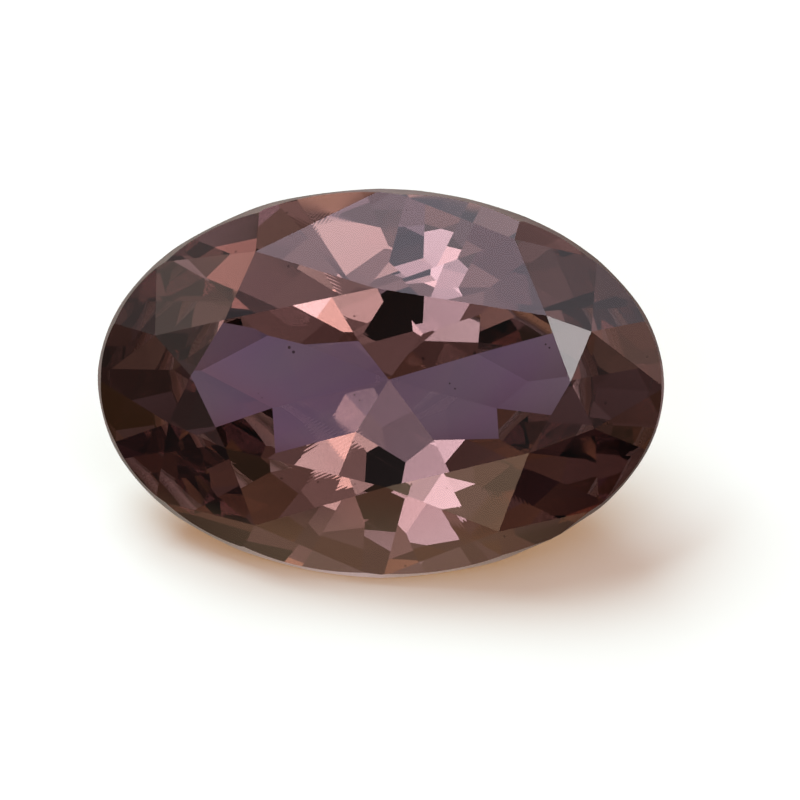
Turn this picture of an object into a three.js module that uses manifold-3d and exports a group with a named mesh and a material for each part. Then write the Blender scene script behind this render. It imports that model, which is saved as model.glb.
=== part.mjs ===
// An oval brilliant-cut zoisite: one clear stone. Its crown has a table, star facets, mains and
// upper girdle facets. Its pavilion bulges: steep lower girdle facets run down from the girdle,
// and flatter mains close it round the culet. Every facet is ground off an oval blank, in the
// order that a cutter works in. The loose stone lies on a girdle facet at the front of its
// pavilion, so its table leans to the front.

import * as THREE from 'three';
import { mergeVertices } from 'three/addons/utils/BufferGeometryUtils.js';
import Module from 'manifold-3d';

const wasm = await Module();
wasm.setup();

// Driving dimensions, in millimetres and degrees
const LENGTH = 9.0;
const WIDTH = 6.19;
const GIRDLE_THICKNESS = 0.16;
const CROWN_HEIGHT = 0.83;
const PAVILION_DEPTH = 2.785;
const CULET = { x: 0.18, y: 0 };
const GIRDLE_SIDES = 144;

// The crown, going round from the right end. "at" is where a main meets the girdle. "reach" and
// "turn" give its table corner: its share of the way out to the girdle, and its direction. "star"
// is the height at which the star facet after it ends, as a share of the crown's height, and
// "split" is where the two girdle facets after it meet at the girdle.
const CROWN = [
  { at: 0, reach: 0.66, turn: 3, star: 0.79, split: 20 },
  { at: 41, reach: 0.68, turn: 33, star: 0.49, split: 61 },
  { at: 90, reach: 0.5, turn: 94, star: 0.65, split: 116 },
  { at: 143, reach: 0.65, turn: 150, star: 0.61, split: 163 },
  { at: 180, reach: 0.68, turn: 177, star: 0.77, split: 199 },
  { at: 218, reach: 0.645, turn: 211, star: 0.56, split: 241 },
  { at: 270, reach: 0.52, turn: 271.5, star: 0.53, split: 296 },
  { at: 321, reach: 0.615, turn: 327, star: 0.74, split: 341 },
];

// The pavilion, also from the right end. "at" is the direction that a main faces and "angle" its
// slope to the girdle's plane. "meet" is where the girdle facets on its two sides meet, "split"
// is where the pair after it meets at the girdle, and "tip" is how far out that pair begins, as
// a share of the way from the culet to the girdle.
const PAVILION = [
  { at: 7, angle: 30, meet: 7, split: 24, tip: 0.34 },
  { at: 46, angle: 36, meet: 50, split: 72, tip: 0.27 },
  { at: 84, angle: 40, meet: 85, split: 113, tip: 0.23 },
  { at: 135, angle: 31.5, meet: 137, split: 157, tip: 0.48 },
  { at: 178, angle: 28.5, meet: 177, split: 204, tip: 0.44 },
  { at: 221, angle: 33.5, meet: 225, split: 254, tip: 0.29 },
  { at: 270, angle: 38, meet: 271, split: 294, tip: 0.34 },
  { at: 325, angle: 32, meet: 324, split: 348, tip: 0.4 },
];

// The loose stone lies on the girdle facet that ends at this meet
const BED_MEET = 271;

const HALF_LENGTH = LENGTH / 2;
const HALF_WIDTH = WIDTH / 2;
const HALF_GIRDLE = GIRDLE_THICKNESS / 2;
const TABLE_LEVEL = HALF_GIRDLE + CROWN_HEIGHT;
const LAP_SIZE = 4 * LENGTH;
const WELD = 1e-3;
const UP = new THREE.Vector3(0, 0, 1);

// Points and directions on the oval

function ovalPoint(degrees, z, reach = 1) {
  const angle = THREE.MathUtils.degToRad(degrees);
  return new THREE.Vector3(reach * HALF_LENGTH * Math.cos(angle), reach * HALF_WIDTH * Math.sin(angle), z);
}

function ovalTangent(degrees) {
  const angle = THREE.MathUtils.degToRad(degrees);
  return new THREE.Vector3(-HALF_LENGTH * Math.sin(angle), HALF_WIDTH * Math.cos(angle), 0);
}

function ovalOutward(degrees) {
  return ovalTangent(degrees).cross(UP).normalize();
}

// A facet's plane through three points, facing away from the stone's middle
function facetPlane(a, b, c) {
  const plane = new THREE.Plane().setFromCoplanarPoints(a, b, c);
  if (plane.constant > 0) {
    plane.negate();
  }
  return plane;
}

// The point where three facet planes meet
function meetPoint(a, b, c) {
  const bc = b.normal.clone().cross(c.normal);
  const ca = c.normal.clone().cross(a.normal);
  const ab = a.normal.clone().cross(b.normal);
  const volume = a.normal.dot(bc);
  return bc.multiplyScalar(-a.constant)
    .add(ca.multiplyScalar(-b.constant))
    .add(ab.multiplyScalar(-c.constant))
    .divideScalar(volume);
}

// The two facets that fill the girdle between two neighbouring points, down or up to a tip
function girdlePair(start, split, end, z, tip) {
  const middle = ovalPoint(split, z);
  return [facetPlane(tip, ovalPoint(start, z), middle), facetPlane(tip, middle, ovalPoint(end, z))];
}

function crownFacets() {
  const corners = CROWN.map(({ reach, turn }) => ovalPoint(turn, TABLE_LEVEL, reach));
  const mains = CROWN.map(({ at }, i) => {
    const foot = ovalPoint(at, HALF_GIRDLE);
    return facetPlane(foot, foot.clone().add(ovalTangent(at)), corners[i]);
  });
  const table = new THREE.Plane(UP.clone(), -TABLE_LEVEL);
  const between = CROWN.flatMap(({ at, star, split }, i) => {
    const next = (i + 1) % CROWN.length;
    const level = new THREE.Plane(UP.clone(), -(HALF_GIRDLE + star * CROWN_HEIGHT));
    const tip = meetPoint(mains[i], mains[next], level);
    const starFacet = facetPlane(tip, corners[i], corners[next]);
    return [starFacet, ...girdlePair(at, split, CROWN[next].at, HALF_GIRDLE, tip)];
  });
  return [table, ...mains, ...between];
}

function pavilionFacets() {
  const culet = new THREE.Vector3(CULET.x, CULET.y, -PAVILION_DEPTH);
  const mains = PAVILION.map(({ at, angle }) => {
    const slope = THREE.MathUtils.degToRad(angle);
    const normal = ovalOutward(at).multiplyScalar(Math.sin(slope)).addScaledVector(UP, -Math.cos(slope));
    return new THREE.Plane().setFromNormalAndCoplanarPoint(normal, culet);
  });
  const between = PAVILION.flatMap(({ meet, split, tip }, i) => {
    const next = (i + 1) % PAVILION.length;
    const ridge = mains[next].normal.clone().cross(mains[i].normal);
    ridge.multiplyScalar(Math.sign(ridge.z) * tip / Math.hypot(ridge.x / HALF_LENGTH, ridge.y / HALF_WIDTH));
    return girdlePair(meet, split, PAVILION[next].meet, -HALF_GIRDLE, culet.clone().add(ridge));
  });
  return [...mains, ...between];
}

// Solids from closed geometries, and back

function toSolid(geometry) {
  const bare = geometry.clone();
  bare.deleteAttribute('normal');
  bare.deleteAttribute('uv');
  const merged = mergeVertices(bare, WELD);
  return new wasm.Manifold(new wasm.Mesh({
    numProp: 3,
    vertProperties: new Float32Array(merged.attributes.position.array),
    triVerts: new Uint32Array(merged.index.array),
  }));
}

function toGeometry(solid) {
  const { vertProperties, triVerts } = solid.getMesh();
  const geometry = new THREE.BufferGeometry();
  geometry.setAttribute('position', new THREE.BufferAttribute(vertProperties, 3));
  geometry.setIndex(new THREE.BufferAttribute(triVerts, 1));
  return geometry;
}

// The oval blank, deeper and higher than the finished stone, with the girdle as its wall
function blankGeometry() {
  const outline = new THREE.Shape();
  outline.absellipse(0, 0, HALF_LENGTH, HALF_WIDTH, 0, 2 * Math.PI);
  const height = 2 * (PAVILION_DEPTH + CROWN_HEIGHT);
  const blank = new THREE.ExtrudeGeometry(outline, {
    depth: height, bevelEnabled: false, curveSegments: GIRDLE_SIDES,
  });
  return blank.translate(0, 0, -height / 2);
}

// The flat lap that grinds one facet: a block whose under side lies on the facet's plane
function lapGeometry(plane) {
  const facing = new THREE.Quaternion().setFromUnitVectors(UP, plane.normal);
  const lap = new THREE.BoxGeometry(LAP_SIZE, LAP_SIZE, LAP_SIZE).translate(0, 0, LAP_SIZE / 2);
  const contact = plane.coplanarPoint(new THREE.Vector3());
  return lap.applyQuaternion(facing).translate(contact.x, contact.y, contact.z);
}

function cutStone() {
  const facets = [...pavilionFacets(), ...crownFacets()];
  return facets.reduce(
    (stone, plane) => stone.subtract(toSolid(lapGeometry(plane))),
    toSolid(blankGeometry()),
  );
}

// The stone in its own frame, then laid down on its bed facet

function makeStone() {
  const material = new THREE.MeshStandardMaterial({ color: 0x8f6a72, roughness: 0.05, metalness: 0 });
  const mesh = new THREE.Mesh(toGeometry(cutStone()), material);
  mesh.name = 'stone';
  return mesh;
}

function bedFacet() {
  const front = PAVILION.findIndex(({ meet }) => meet === BED_MEET);
  return pavilionFacets()[PAVILION.length + 2 * front - 1];
}

function layDown(stone) {
  stone.quaternion.setFromUnitVectors(bedFacet().normal, UP.clone().negate());
  const long = new THREE.Vector3(1, 0, 0).applyQuaternion(stone.quaternion);
  stone.rotateOnWorldAxis(UP, -Math.atan2(long.y, long.x));
  stone.updateMatrixWorld(true);
  const box = new THREE.Box3().setFromObject(stone, true);
  const middle = box.getCenter(new THREE.Vector3());
  stone.position.set(-middle.x, -middle.y, -box.min.z);
}

const group = new THREE.Group();
const stone = makeStone();
layDown(stone);
group.add(stone);

export default group;
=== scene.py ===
import math

import bmesh
import bpy
from mathutils import Matrix, Vector


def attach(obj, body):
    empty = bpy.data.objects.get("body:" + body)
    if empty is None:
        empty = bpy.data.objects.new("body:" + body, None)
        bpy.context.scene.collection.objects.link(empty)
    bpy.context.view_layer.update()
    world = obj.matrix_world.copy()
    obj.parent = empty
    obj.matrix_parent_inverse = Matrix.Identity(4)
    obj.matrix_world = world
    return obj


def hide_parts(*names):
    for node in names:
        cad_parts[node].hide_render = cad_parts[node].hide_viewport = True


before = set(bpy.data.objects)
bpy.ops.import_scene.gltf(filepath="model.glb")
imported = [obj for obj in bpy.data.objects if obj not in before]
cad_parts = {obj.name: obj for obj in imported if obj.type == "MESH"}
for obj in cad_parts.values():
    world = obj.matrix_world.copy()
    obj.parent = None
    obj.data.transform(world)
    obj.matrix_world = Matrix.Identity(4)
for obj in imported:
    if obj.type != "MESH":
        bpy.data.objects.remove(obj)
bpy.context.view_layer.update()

MM = 0.001

# The photograph's view, in its own 800 by 800 pixels and in the stone's millimetres
PHOTO_SIDE_PX = 800
STONE_LENGTH_PX = 567.4
STONE_CENTRE_PX = (381.0, 383.1)
OVAL_TURN_DEG = 1.7
ABOVE_TABLE_NORMAL_DEG = 2.5
LEFT_OF_TABLE_NORMAL_DEG = 2.6
LENS_MM = 1500
SENSOR_MM = 36

# The cut stone, in metres
STONE_LENGTH = 9.0 * MM
STONE_WIDTH = 6.19 * MM
WELD = 0.0005 * MM
SAME_PLANE_DEG = 0.6
LOOKS_UP = 0.5
SNAP = 0.0002 * MM

# The girdle's wall is square to the table, to within WALL_SINE. Flats round it, given by their
# lean from the wall and by how far down it they begin. All that leans less than GROUND_SINE
# from it is ground.
WALL_SINE = 0.05
RIM_FLATS = [(12, 0.07 * MM), (29, 0.045 * MM)]
GROUND_SINE = math.sin(math.radians(30))

# The clear zoisite: its refractive index, and what a metre of it takes from each colour. The
# density is set above the strongest of these, so that each colour stays above zero.
CLEAR_INDEX = 1.695
ABSORBS_PER_METRE = (175.0, 225.0, 235.0)
DENSITY_PER_ABSORPTION = 2

# Tints of the light as it passes the stone's surface, and where they change, in millimetres
# along the stone or as a share of the way out to the girdle. They are partly the crystal's own
# colour and partly painted light: darker ends as painted shade, a lavender heart that is partly
# the crystal's violet and partly the painted tint of the floor seen through it, and an olive
# front skirt painted with the colour of the tan floor in front of the stone
TABLE_TINT = (0.97, 0.84, 0.88, 1)
TIP_PAINTED_SHADE = (0.72, 0.57, 0.60, 1)
TIP_SPAN_MM = (2.2, 4.3)
HEART_VIOLET_AND_PAINTED_FLOOR = (0.82, 0.52, 0.97, 1)
FRONT_SKIRT_PAINTED_FLOOR = (0.75, 0.83, 0.55, 1)
BACK_SKIRT_TINT = (0.97, 0.88, 0.80, 1)
SKIRT_SPAN = (0.45, 0.85)
FRONT_SPAN_MM = (0.0, -1.2)
RIM_TINT = (1.0, 0.97, 0.93, 1)

# The ground rim: matt, with a painted glow in place of the light it scatters, lighter at its
# left, and its grain, with its height in polishing lines
RIM_ROUGHNESS = 0.55
RIM_PAINTED_GLOW_LEFT = (0.13, 0.125, 0.11, 1)
RIM_PAINTED_GLOW_RIGHT = (0.05, 0.045, 0.04, 1)
RIM_GLOW_SPAN_MM = (0.0, 4.0)
GRAIN = {"Scale": 25.0, "Detail": 2.0}
GRAIN_HEIGHT = 20.0

# Faint bands of stronger and weaker colour, from a noise drawn out along them
ZONE_TINT = (0.93, 0.90, 0.93, 1)
ZONE_TURN = (0.5, 0.2, 0.9)
ZONE_STRETCH = (1.2, 0.15, 0.15)
ZONE_NOISE = {"Scale": 1.0, "Detail": 2.0}
ZONE_SPAN = (0.3, 0.7)
ZONE_STRENGTH = 0.5

# Wear: pinpoints, and patches of polishing lines with their middle, reach and turn
SPECK_TINT = (0.10, 0.07, 0.07, 1)
SPECK_SIZE = 0.035
SPECKS_PER_MM = 1.4
NO_SPECK_SHARE = 0.55
LAP_LINES = {"Scale": 6.0, "Distortion": 0.6, "Detail": 2.0, "Detail Scale": 0.6}
LAP_PATCH_SPAN = (0.5, 1.0)
POLISH_DEPTH = 0.0003 * MM
POLISH_LINES_MM = [
    ((-0.8, -1.1, -2.0), 0.7, (0, 0, 60)),
    ((-0.9, 2.4, -1.0), 0.6, (0, 0, 25)),
    ((1.8, -1.9, -1.2), 0.7, (0, 0, -30)),
]

# The card under the stone: how it looks, and the painted glow, dimmer, that it sends back into
# the stone in place of the light it throws back, near it and further off, by the way that it lies
# from the stone, with a painted warm pool of light and a painted streak in front. A span is where
# such a light sets in and where it is full.
FLOOR_RADIUS = 400 * MM
FLOOR_SIDES = 96
FLOOR_ROUGHNESS = 0.9
AIR_GAP = 0.02 * MM
FLOOR_SEEN = (0.33, 0.44, 0.47, 1)
# Painted warm glow: the card glows to the camera in this colour, which tints its shadow tan
FLOOR_PAINTED_WARM_GLOW = (0.30, 0.125, 0.015, 1)
NEAR_TO_FAR = (5 * MM, 9 * MM)
FRONT_NEAR = (0.90, 0.60, 0.38, 1)
FRONT_FAR = (0.04, 0.05, 0.05, 1)
FRONT_STREAK = (0.86, 0.36, 0.20, 1)
FRONT_STREAK_WAY = (0.26, -0.97, 0)
BACK_NEAR = (0.24, 0.21, 0.27, 1)
BACK_FAR = (0.28, 0.20, 0.18, 1)
RIGHT_SIDE = (0.03, 0.00, 0.00, 1)
LEFT_SIDE = (0.10, 0.04, 0.04, 1)
FRONT_SPAN = (-0.1, -1.0)
BACK_SPAN = (0.1, 1.0)
RIGHT_SPAN = (0.3, 1.0)
LEFT_SPAN = (-0.3, -1.0)
STREAK_SPAN = (0.94, 0.975)
NOTHING = (0, 0, 0, 1)
BACKDROP = (1.0, 1.0, 1.0, 1)

# The room by height above the horizon, as a share of the zenith's height, and the dark spot
# where the camera stands: half its width and its soft edge, in degrees
ROOM = [
    (0.0, (0.29, 0.15, 0.07)),
    (0.35, (0.20, 0.12, 0.11)),
    (0.65, (0.68, 0.52, 0.51)),
    (0.87, (0.16, 0.12, 0.06)),
    (1.0, (0.54, 0.47, 0.54)),
]
CAMERA_SPOT = (0.02, 0.02, 0.02, 1)
CAMERA_SPOT_DEG = 8.4
CAMERA_SPOT_EDGE_DEG = 1.5

# Soft boxes in the room: direction from the stone, with azimuth 0 behind it and 90 to its
# right, then how far they reach to each side and up and down, in degrees, and their light
SOFT_BOXES = [
    (-9, 85, 17, 12, (1.2, 1.1, 1.35, 1)),
    (-149, 45, 20, 14, (1.45, 1.5, 1.8, 1)),
    (167, 53, 27, 8, (1.85, 1.65, 1.65, 1)),
    (-82, 53, 13, 11, (0.68, 0.52, 0.48, 1)),
    (62, 44, 12, 19, (0.42, 0.42, 0.52, 1)),
    (-29, 3, 11, 24, (0.25, 0.25, 0.25, 1)),
    (131, 50, 5, 5, (3.0, 3.0, 3.1, 1)),
    (170, 7, 8, 7, (1.2, 0.85, 0.6, 1)),
    (14, 40, 11, 7, (0.8, 0.95, 1.2, 1)),
    (-132, 37, 8, 9, (1.5, 1.6, 1.8, 1)),
    (179, 68, 12, 7, (0.4, 0.42, 0.6, 1)),
    (142, 37, 5, 5, (1.75, 1.6, 1.6, 1)),
    (141, 46, 5, 5, (1.5, 1.0, 0.75, 1)),
    (95, 28, 8, 7, (1.0, 0.55, 0.45, 1)),
]

# The boxes' soft edge, and the least part of a direction that counts as ahead
BOX_EDGE = 0.01
LEAST_AHEAD = 0.001

# The lamp that lights the card: its direction and reach as above, and its brightness
CARD_LAMP = (-37, 51, 22, 13, 18.5)
LAMP_DISTANCE = 0.5

# How often light may turn in the stone, in all and by reflecting or passing through
ALL_BOUNCES = 32
GLASS_BOUNCES = 24


def facet_mesh(node):
    """The CAD stone's triangles joined into whole flat facets."""
    bm = bmesh.new()
    bm.from_mesh(node.data)
    bmesh.ops.remove_doubles(bm, verts=bm.verts, dist=WELD)
    bmesh.ops.dissolve_limit(
        bm, angle_limit=math.radians(SAME_PLANE_DEG), verts=bm.verts, edges=bm.edges
    )
    bm.normal_update()
    return bm


def table_normal(bm):
    """The way the table faces: it is the largest facet that looks up."""
    upper = [f for f in bm.faces if f.normal.z > LOOKS_UP]
    return max(upper, key=lambda f: f.calc_area()).normal.copy()


def long_axis(bm, up):
    """The direction of the oval's length, from the two ends of the girdle."""
    right = max(bm.verts, key=lambda v: v.co.x).co
    left = min(bm.verts, key=lambda v: v.co.x).co
    along = right - left
    return (along - up * along.dot(up)).normalized()


def girdle_centre(bm, up, along):
    """The middle of the rim, halfway between its ends in each of the stone's directions."""
    rim = [v.co for f in bm.faces if abs(f.normal.dot(up)) < WALL_SINE for v in f.verts]
    centre = Vector((0, 0, 0))
    for way in (along, up.cross(along), up):
        reach = [co.dot(way) for co in rim]
        centre += way * (min(reach) + max(reach)) / 2
    return centre


def rim_flats(bm, up):
    """The planes that round the rim: a few along each of its edges, by a point and a normal."""
    flats = []
    for edge in bm.edges:
        walls = [f for f in edge.link_faces if abs(f.normal.dot(up)) < WALL_SINE]
        facets = [f for f in edge.link_faces if abs(f.normal.dot(up)) >= WALL_SINE]
        if len(walls) != 1 or len(facets) != 1:
            continue
        outward = (walls[0].normal - up * walls[0].normal.dot(up)).normalized()
        side = up if facets[0].normal.dot(up) > 0 else -up
        middle = (edge.verts[0].co + edge.verts[1].co) / 2
        for lean, start in RIM_FLATS:
            angle = math.radians(lean)
            facing = outward * math.cos(angle) + side * math.sin(angle)
            flats.append((middle - side * start, facing))
    return flats


def grind(bm, point, facing):
    """Takes off all that lies above a plane, and closes the cut with one flat face."""
    if all((v.co - point).dot(facing) < SNAP for v in bm.verts):
        return
    made = bmesh.ops.bisect_plane(
        bm, geom=bm.verts[:] + bm.edges[:] + bm.faces[:], dist=SNAP,
        plane_co=point, plane_no=facing, clear_outer=True, clear_inner=False,
    )
    rim = [e for e in made["geom_cut"] if isinstance(e, bmesh.types.BMEdge) and e.is_boundary]
    bmesh.ops.edgeloop_fill(bm, edges=rim)


def cut_stone(node):
    """A copy of the stone with a rounded, ground girdle."""
    bm = facet_mesh(node)
    up = table_normal(bm)
    along = long_axis(bm, up)
    centre = girdle_centre(bm, up, along)
    for point, facing in rim_flats(bm, up):
        grind(bm, point, facing)
    bm.normal_update()
    ground = bm.faces.layers.float.new("ground")
    for f in bm.faces:
        f[ground] = 1.0 if abs(f.normal.dot(up)) < GROUND_SINE else 0.0
        f.smooth = f[ground] > 0.5
    for e in bm.edges:
        e.smooth = all(f[ground] > 0.5 for f in e.link_faces)
    mesh = bpy.data.meshes.new("cut_stone")
    bm.to_mesh(mesh)
    bm.free()
    stone = bpy.data.objects.new("cut_stone", mesh)
    bpy.context.scene.collection.objects.link(stone)
    return stone, up, along, centre


def put(tree, kind, settings=None, inputs=None):
    """Adds a node. Each input gets a number or a colour, or is joined to another node's output."""
    made = tree.nodes.new(kind)
    for name, value in (settings or {}).items():
        setattr(made, name, value)
    for name, value in (inputs or {}).items():
        if isinstance(value, bpy.types.NodeSocket):
            tree.links.new(value, made.inputs[name])
        else:
            made.inputs[name].default_value = value
    return made


def maths(tree, operation, a, b=0.0):
    """One step of arithmetic, or a comparison, on two numbers."""
    return put(tree, "ShaderNodeMath", {"operation": operation}, {0: a, 1: b}).outputs["Value"]


def fade(tree, value, start, end):
    """Rises smoothly from 0 to 1 as the value goes from start to end."""
    settings = {"interpolation_type": "SMOOTHSTEP"}
    inputs = {"Value": value, "From Min": start, "From Max": end}
    return put(tree, "ShaderNodeMapRange", settings, inputs).outputs["Result"]


def blended(tree, factor, a, b):
    """Colour a where the factor is 0, and b where it is 1."""
    settings = {"data_type": "RGBA"}
    inputs = {"Factor": factor, "A": a, "B": b}
    return put(tree, "ShaderNodeMix", settings, inputs).outputs["Result"]


def stone_place(tree, up, along, centre):
    """The surface point in the stone's own frame, in millimetres: length along X, table up Z."""
    turned = Matrix((along, up.cross(along), up))
    settings = {"vector_type": "POINT"}
    inputs = {
        "Vector": tree.nodes.new("ShaderNodeTexCoord").outputs["Object"],
        "Rotation": turned.to_euler(),
        "Location": -(turned @ centre) / MM,
        "Scale": (1 / MM, 1 / MM, 1 / MM),
    }
    return put(tree, "ShaderNodeMapping", settings, inputs).outputs["Vector"]


def polish_lines_group():
    """Fine parallel lines that the lap left, in a small patch of the surface."""
    group = bpy.data.node_groups.new("polish_lines", "ShaderNodeTree")
    group.interface.new_socket("Place", in_out="INPUT", socket_type="NodeSocketVector")
    group.interface.new_socket("Middle", in_out="INPUT", socket_type="NodeSocketVector")
    group.interface.new_socket("Reach", in_out="INPUT", socket_type="NodeSocketFloat")
    group.interface.new_socket("Turn", in_out="INPUT", socket_type="NodeSocketVector")
    group.interface.new_socket("Height", in_out="OUTPUT", socket_type="NodeSocketFloat")
    start = group.nodes.new("NodeGroupInput")
    end = group.nodes.new("NodeGroupOutput")
    turned = put(group, "ShaderNodeMapping", None, {
        "Vector": start.outputs["Place"], "Rotation": start.outputs["Turn"],
    })
    lines = put(group, "ShaderNodeTexWave", {"bands_direction": "X"}, {
        "Vector": turned.outputs["Vector"], **LAP_LINES,
    })
    away = put(group, "ShaderNodeVectorMath", {"operation": "DISTANCE"}, {
        0: start.outputs["Place"], 1: start.outputs["Middle"],
    })
    share = maths(group, "DIVIDE", away.outputs["Value"], start.outputs["Reach"])
    patch = maths(group, "SUBTRACT", 1.0, fade(group, share, *LAP_PATCH_SPAN))
    height = maths(group, "MULTIPLY", lines.outputs["Fac"], patch)
    group.links.new(height, end.inputs["Height"])
    return group


def surface_tint_and_painted_light(tree, place):
    """What the surface lets through: darker, warmer ends as painted shade, a lavender heart that is
    partly violet and partly painted floor seen through it, and an olive front skirt painted with
    the tan floor.
    """
    split = put(tree, "ShaderNodeSeparateXYZ", None, {"Vector": place})
    sideways = maths(tree, "ABSOLUTE", split.outputs["X"])
    # Painted shade: the crown turns darker and warmer towards the ends
    crown_with_painted_shade = blended(tree, fade(tree, sideways, *TIP_SPAN_MM), TABLE_TINT, TIP_PAINTED_SHADE)
    oval = put(tree, "ShaderNodeVectorMath", {"operation": "MULTIPLY"}, {
        0: place, 1: (MM / STONE_LENGTH * 2, MM / STONE_WIDTH * 2, 0),
    })
    reach = put(tree, "ShaderNodeVectorMath", {"operation": "LENGTH"}, {0: oval.outputs["Vector"]})
    outer = fade(tree, reach.outputs["Value"], *SKIRT_SPAN)
    # Painted floor: the pavilion's outer band turns olive at the front, for the tan floor it faces,
    # and its heart is tinted lavender partly for the floor seen through it
    front = fade(tree, split.outputs["Y"], *FRONT_SPAN_MM)
    skirt_with_painted_floor = blended(tree, front, BACK_SKIRT_TINT, FRONT_SKIRT_PAINTED_FLOOR)
    pavilion_with_painted_floor = blended(tree, outer, HEART_VIOLET_AND_PAINTED_FLOOR, skirt_with_painted_floor)
    above = maths(tree, "GREATER_THAN", split.outputs["Z"], 0.0)
    return blended(tree, above, pavilion_with_painted_floor, crown_with_painted_shade)


def growth_zones(tree, place):
    """Very faint bands of stronger and weaker colour, straight across the stone."""
    turned = put(tree, "ShaderNodeMapping", None, {"Vector": place, "Rotation": ZONE_TURN})
    drawn_out = put(tree, "ShaderNodeVectorMath", {"operation": "MULTIPLY"}, {
        0: turned.outputs["Vector"], 1: ZONE_STRETCH,
    })
    bands = put(tree, "ShaderNodeTexNoise", {"noise_dimensions": "3D"}, {
        "Vector": drawn_out.outputs["Vector"], **ZONE_NOISE,
    })
    return fade(tree, bands.outputs["Fac"], *ZONE_SPAN)


def specks(tree, place):
    """A few pinpoints of dust and tiny inclusions, as a mask."""
    cells = put(tree, "ShaderNodeTexVoronoi", {"voronoi_dimensions": "2D"}, {
        "Vector": place, "Scale": SPECKS_PER_MM, "Randomness": 1.0,
    })
    kept = put(tree, "ShaderNodeSeparateColor", None, {"Color": cells.outputs["Color"]})
    size = maths(tree, "MULTIPLY", kept.outputs["Red"], SPECK_SIZE)
    inside = maths(tree, "LESS_THAN", cells.outputs["Distance"], size)
    chosen = maths(tree, "GREATER_THAN", kept.outputs["Green"], NO_SPECK_SHARE)
    return maths(tree, "MULTIPLY", inside, chosen)


def clear_zoisite(up, along, centre):
    """Transparent brown-pink crystal: plain transmission, its index and an absorbing inside."""
    mat = bpy.data.materials.new("clear_zoisite")
    mat.use_nodes = True
    tree = mat.node_tree
    shader = tree.nodes["Principled BSDF"]
    shader.inputs["Transmission Weight"].default_value = 1.0
    shader.inputs["IOR"].default_value = CLEAR_INDEX

    place = stone_place(tree, up, along, centre)
    zones = maths(tree, "MULTIPLY", growth_zones(tree, place), ZONE_STRENGTH)
    tint_and_painted_light = blended(tree, zones, surface_tint_and_painted_light(tree, place), ZONE_TINT)
    ground = put(tree, "ShaderNodeAttribute", {"attribute_name": "ground"}).outputs["Fac"]
    tint_and_painted_light = blended(tree, ground, tint_and_painted_light, RIM_TINT)
    tint_and_painted_light = blended(tree, specks(tree, place), tint_and_painted_light, SPECK_TINT)
    tree.links.new(tint_and_painted_light, shader.inputs["Base Color"])

    rough = put(tree, "ShaderNodeMapRange", None, {
        "Value": ground, "To Min": 0.0, "To Max": RIM_ROUGHNESS,
    })
    tree.links.new(rough.outputs["Result"], shader.inputs["Roughness"])

    # Painted glow: to the camera the ground rim gives off a pale grey light, lighter at its left,
    # in place of the light that it scatters
    sideways = put(tree, "ShaderNodeSeparateXYZ", None, {"Vector": place}).outputs["X"]
    rim_painted_glow = blended(tree, fade(tree, sideways, *RIM_GLOW_SPAN_MM), RIM_PAINTED_GLOW_LEFT, RIM_PAINTED_GLOW_RIGHT)
    seen = tree.nodes.new("ShaderNodeLightPath").outputs["Is Camera Ray"]
    rim_painted_glow = blended(tree, maths(tree, "MULTIPLY", ground, seen), NOTHING, rim_painted_glow)
    tree.links.new(rim_painted_glow, shader.inputs["Emission Color"])
    shader.inputs["Emission Strength"].default_value = 1.0

    lines = polish_lines_group()
    height = 0.0
    for middle, reach, turn in POLISH_LINES_MM:
        patch = put(tree, "ShaderNodeGroup", {"node_tree": lines}, {
            "Place": place, "Middle": middle, "Reach": reach,
            "Turn": [math.radians(angle) for angle in turn],
        })
        height = maths(tree, "ADD", height, patch.outputs["Height"])
    grain = put(tree, "ShaderNodeTexNoise", None, {"Vector": place, **GRAIN}).outputs["Fac"]
    grain = maths(tree, "MULTIPLY", grain, maths(tree, "MULTIPLY", ground, GRAIN_HEIGHT))
    height = maths(tree, "ADD", height, grain)
    bump = put(tree, "ShaderNodeBump", None, {
        "Height": height, "Strength": 1.0, "Distance": POLISH_DEPTH,
    })
    tree.links.new(bump.outputs["Normal"], shader.inputs["Normal"])

    inside = tree.nodes.new("ShaderNodeVolumeAbsorption")
    density = max(ABSORBS_PER_METRE) * DENSITY_PER_ABSORPTION
    left_over = [1 - a / density for a in ABSORBS_PER_METRE]
    inside.inputs["Color"].default_value = (*left_over, 1)
    inside.inputs["Density"].default_value = density
    tree.links.new(inside.outputs["Volume"], tree.nodes["Material Output"].inputs["Volume"])
    return mat


def added(tree, a, b):
    """The sum of two colours."""
    settings = {"data_type": "RGBA", "blend_type": "ADD"}
    inputs = {"Factor": 1.0, "A": a, "B": b}
    return put(tree, "ShaderNodeMix", settings, inputs).outputs["Result"]


def dot(tree, way, fixed):
    """How far a direction goes along a fixed one."""
    inputs = {0: way, 1: fixed}
    return put(tree, "ShaderNodeVectorMath", {"operation": "DOT_PRODUCT"}, inputs).outputs["Value"]


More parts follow.
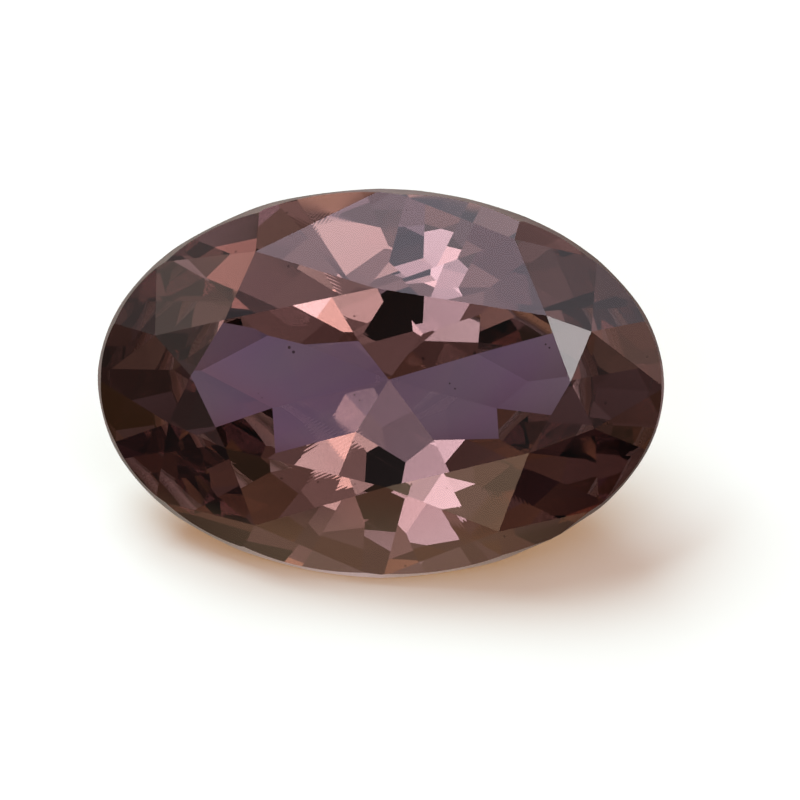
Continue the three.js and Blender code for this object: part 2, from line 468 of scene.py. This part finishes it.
def floor_material():
    """Pale card: white to the eye with a painted warm glow in its shadow, and to the stone a
    darker, warmer painted glow in place of what it throws back.
    """
    mat = bpy.data.materials.new("pale_card")
    mat.use_nodes = True
    tree = mat.node_tree
    shader = tree.nodes["Principled BSDF"]
    shader.inputs["Roughness"].default_value = FLOOR_ROUGHNESS
    shader.inputs["Specular IOR Level"].default_value = 0.0
    shader.inputs["Emission Strength"].default_value = 1.0
    place = tree.nodes.new("ShaderNodeTexCoord").outputs["Object"]
    flat = put(tree, "ShaderNodeVectorMath", {"operation": "MULTIPLY"}, {0: place, 1: (1, 1, 0)})
    flat = flat.outputs["Vector"]
    away = put(tree, "ShaderNodeVectorMath", {"operation": "LENGTH"}, {0: flat}).outputs["Value"]
    way = put(tree, "ShaderNodeVectorMath", {"operation": "NORMALIZE"}, {0: flat}).outputs["Vector"]
    split = put(tree, "ShaderNodeSeparateXYZ", None, {"Vector": way})
    streak = fade(tree, dot(tree, way, FRONT_STREAK_WAY), *STREAK_SPAN)
    far = fade(tree, away, *NEAR_TO_FAR)
    front = blended(tree, far, FRONT_NEAR, FRONT_FAR)
    back = blended(tree, far, BACK_NEAR, BACK_FAR)
    # Painted light: for the stone the card glows in place of its bounce, with a painted warm pool
    # and streak in front
    painted_bounce = NOTHING
    for share, color in (
        (fade(tree, split.outputs["Y"], *FRONT_SPAN), front),
        (fade(tree, split.outputs["Y"], *BACK_SPAN), back),
        (fade(tree, split.outputs["X"], *RIGHT_SPAN), RIGHT_SIDE),
        (fade(tree, split.outputs["X"], *LEFT_SPAN), LEFT_SIDE),
        (maths(tree, "MULTIPLY", streak, far), FRONT_STREAK),
    ):
        painted_bounce = added(tree, painted_bounce, blended(tree, share, NOTHING, color))
    seen = tree.nodes.new("ShaderNodeLightPath").outputs["Is Camera Ray"]
    tree.links.new(blended(tree, seen, NOTHING, FLOOR_SEEN), shader.inputs["Base Color"])
    # Painted light: the card glows warm to the camera, and to the stone with the painted bounce
    tree.links.new(blended(tree, seen, painted_bounce, FLOOR_PAINTED_WARM_GLOW), shader.inputs["Emission Color"])
    return mat


def make_floor():
    """The card, just under the stone."""
    bm = bmesh.new()
    bmesh.ops.create_circle(bm, cap_ends=True, segments=FLOOR_SIDES, radius=FLOOR_RADIUS)
    bmesh.ops.translate(bm, verts=bm.verts, vec=(0, 0, -AIR_GAP))
    mesh = bpy.data.meshes.new("floor")
    bm.to_mesh(mesh)
    bm.free()
    floor = bpy.data.objects.new("floor", mesh)
    bpy.context.scene.collection.objects.link(floor)
    floor.data.materials.append(floor_material())
    return floor


def aim(azimuth, elevation):
    """The direction from the stone, and the directions to its right and up, as seen there."""
    a = math.radians(azimuth)
    e = math.radians(elevation)
    away = Vector((math.sin(a) * math.cos(e), math.cos(a) * math.cos(e), math.sin(e)))
    right = Vector((math.cos(a), -math.sin(a), 0))
    return away, right, right.cross(away)


def card_lamp(floor, azimuth, elevation, half_width, half_height, brightness):
    """A soft lamp for the card alone. The stone still throws its shadow in it."""
    away = aim(azimuth, elevation)[0]
    width = 2 * LAMP_DISTANCE * math.tan(math.radians(half_width))
    height = 2 * LAMP_DISTANCE * math.tan(math.radians(half_height))
    data = bpy.data.lights.new("card_lamp", "AREA")
    data.shape = "RECTANGLE"
    data.size = width
    data.size_y = height
    data.energy = brightness * math.pi * width * height
    lamp = bpy.data.objects.new("card_lamp", data)
    bpy.context.scene.collection.objects.link(lamp)
    lamp.location = away * LAMP_DISTANCE
    lamp.rotation_euler = away.to_track_quat("Z", "Y").to_euler()
    lamp.visible_camera = False
    lit = bpy.data.collections.new("card_only")
    lit.objects.link(floor)
    lamp.light_linking.receiver_collection = lit


def soft_box(tree, way, azimuth, elevation, half_width, half_height):
    """Where the room shows a soft box, as a mask."""
    away, right, up = aim(azimuth, elevation)
    ahead = maths(tree, "MAXIMUM", dot(tree, way, away), LEAST_AHEAD)
    mask = 1.0
    for side, half in ((right, half_width), (up, half_height)):
        aside = maths(tree, "ABSOLUTE", maths(tree, "DIVIDE", dot(tree, way, side), ahead))
        reach = math.tan(math.radians(half))
        mask = maths(tree, "MULTIPLY", mask, fade(tree, aside, reach + BOX_EDGE, reach - BOX_EDGE))
    return mask


def make_world(camera_way):
    """White to the camera. The stone sees a dim room that brightens overhead, and soft boxes."""
    world = bpy.data.worlds.new("studio")
    bpy.context.scene.world = world
    world.use_nodes = True
    tree = world.node_tree
    back = tree.nodes["Background"]
    way = tree.nodes.new("ShaderNodeTexCoord").outputs["Generated"]
    level = put(tree, "ShaderNodeSeparateXYZ", None, {"Vector": way}).outputs["Z"]
    ramp = put(tree, "ShaderNodeValToRGB", None, {"Fac": level})
    ramp.color_ramp.elements[0].position = ROOM[0][0]
    ramp.color_ramp.elements[0].color = (*ROOM[0][1], 1)
    ramp.color_ramp.elements[1].position = ROOM[-1][0]
    ramp.color_ramp.elements[1].color = (*ROOM[-1][1], 1)
    for place, color in ROOM[1:-1]:
        ramp.color_ramp.elements.new(place).color = (*color, 1)
    room = ramp.outputs["Color"]
    for *box, light in SOFT_BOXES:
        room = added(tree, room, blended(tree, soft_box(tree, way, *box), NOTHING, light))
    outer = math.cos(math.radians(CAMERA_SPOT_DEG + CAMERA_SPOT_EDGE_DEG))
    inner = math.cos(math.radians(CAMERA_SPOT_DEG - CAMERA_SPOT_EDGE_DEG))
    spot = fade(tree, dot(tree, way, camera_way), outer, inner)
    room = blended(tree, spot, room, CAMERA_SPOT)
    seen = tree.nodes.new("ShaderNodeLightPath").outputs["Is Camera Ray"]
    tree.links.new(blended(tree, seen, room, BACKDROP), back.inputs["Color"])


def make_camera(up, along, centre):
    """Looks at the table from beside its normal, with the oval turned as in the photograph."""
    across = up.cross(along)
    tilt = math.tan(math.radians(ABOVE_TABLE_NORMAL_DEG))
    aside = math.tan(math.radians(LEFT_OF_TABLE_NORMAL_DEG))
    turn = math.radians(OVAL_TURN_DEG)
    back = (up + across * tilt - along * aside).normalized()
    length = (along - back * along.dot(back)).normalized()
    right = length * math.cos(turn) + back.cross(length) * math.sin(turn)
    above = back.cross(right)
    metres_per_px = STONE_LENGTH / STONE_LENGTH_PX
    distance = PHOTO_SIDE_PX * metres_per_px * LENS_MM / SENSOR_MM
    half = PHOTO_SIDE_PX / 2
    shift_x = (half - STONE_CENTRE_PX[0]) * metres_per_px
    shift_y = (STONE_CENTRE_PX[1] - half) * metres_per_px
    data = bpy.data.cameras.new("camera")
    data.lens = LENS_MM
    data.sensor_width = SENSOR_MM
    data.clip_start = MM
    camera = bpy.data.objects.new("camera", data)
    bpy.context.scene.collection.objects.link(camera)
    camera.rotation_euler = Matrix((right, above, back)).transposed().to_euler()
    camera.location = centre + back * distance + right * shift_x + above * shift_y
    bpy.context.scene.camera = camera
    return back


scene = bpy.context.scene
scene.view_settings.view_transform = "Standard"
scene.cycles.max_bounces = ALL_BOUNCES
scene.cycles.glossy_bounces = GLASS_BOUNCES
scene.cycles.transmission_bounces = GLASS_BOUNCES
scene.cycles.caustics_refractive = True
scene.cycles.caustics_reflective = True

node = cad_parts["stone"]
stone, up, along, centre = cut_stone(node)
camera_way = make_camera(up, along, centre)
stone.data.materials.append(clear_zoisite(up, along, centre))
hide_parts("stone")
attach(stone, "root")

floor = make_floor()
card_lamp(floor, *CARD_LAMP)
make_world(camera_way)
